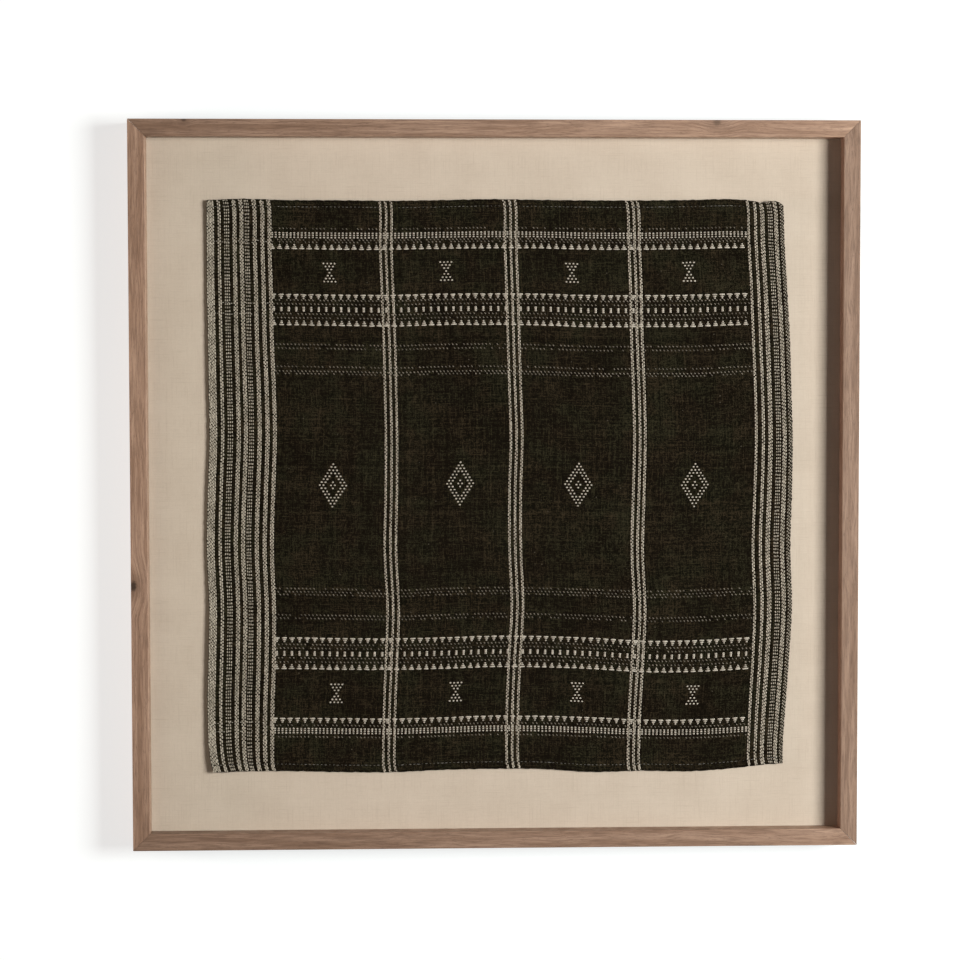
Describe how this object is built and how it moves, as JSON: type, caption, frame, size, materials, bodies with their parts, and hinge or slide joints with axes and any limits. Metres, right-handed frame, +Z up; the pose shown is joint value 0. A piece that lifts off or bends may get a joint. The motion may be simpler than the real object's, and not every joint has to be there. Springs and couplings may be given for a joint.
{
  "type": "handwoven textile in a walnut shadow-box frame",
  "caption": "Square dark handwoven cloth with cream stripes and brocade, mounted on linen inside a deep walnut shadow-box frame that hangs flat on a wall.",
  "frame": {"origin": "middle of the top rail's flat back face, where the frame hangs on the wall", "axes": "+Z up, +Y from the front of the frame towards the wall, +X to the right as seen from the front"},
  "size_m": [1.016, 0.05, 1.016],
  "materials": {
    "walnut": "matte oiled walnut, straight grain along each rail",
    "linen": "natural linen, plain weave with slubs",
    "board": "plain pressed fibre board",
    "handwoven_cloth": "coarse handwoven near-black cloth with cream yarn stripes and floats"
  },
  "bodies": {
    "root": {"rail_top": "walnut", "rail_bottom": "walnut", "rail_left": "walnut", "rail_right": "walnut", "linen_ground": "linen", "mounting_board": "board", "textile": "handwoven_cloth"}
  },
  "joints": []
}
